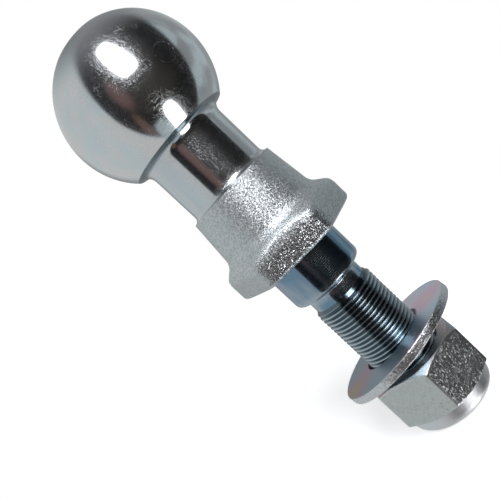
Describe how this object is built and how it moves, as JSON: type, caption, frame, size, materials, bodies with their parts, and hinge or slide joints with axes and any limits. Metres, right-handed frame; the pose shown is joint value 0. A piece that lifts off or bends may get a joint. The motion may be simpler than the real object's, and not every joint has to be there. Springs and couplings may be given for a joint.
{
  "type": "threaded tow ball",
  "caption": "Forged steel coupling ball on a neck and hexagonal flange, with a spigot, a threaded shank, a flat washer and a nylon-insert lock nut.",
  "frame": {"origin": "on the axis of the thread, in the plane of the nut's end face, on which the part stands", "axes": "+Z along the shank towards the ball; -Y is the side that faces the camera in the picture"},
  "size_m": [0.05, 0.05, 0.1613],
  "materials": {
    "bright_zinc": "bright blue-white zinc plating, turned on the ball, neck and shank, shot-blasted on the forged shoulder and flange",
    "plated_washer": "zinc plating with a faint iridescent passivation, sheared rim",
    "plated_nut": "dull zinc plating on forged flats, bright crimped collar",
    "white_nylon": "natural white nylon"
  },
  "bodies": {
    "tow_ball": {"tow_ball": "bright_zinc"},
    "washer": {"flat_washer": "plated_washer"},
    "nut": {"nut_body": "plated_nut", "nylon_insert": "white_nylon"}
  },
  "joints": [
    {"name": "washer_slide", "type": "slide", "parent": "tow_ball", "child": "washer", "axis": [0, 0, 1], "range_m": [-0.0218, 0.0263]},
    {"name": "nut_turn", "type": "hinge", "parent": "washer", "child": "nut", "pos_m": [0, 0, 0.0115], "axis": [0, 0, 1], "range_deg": [-5220, 6300]}
  ],
  "couplings": [
    {"joint": "washer_slide", "follows": "nut_turn", "m_per_rad": 0.00023873}
  ]
}
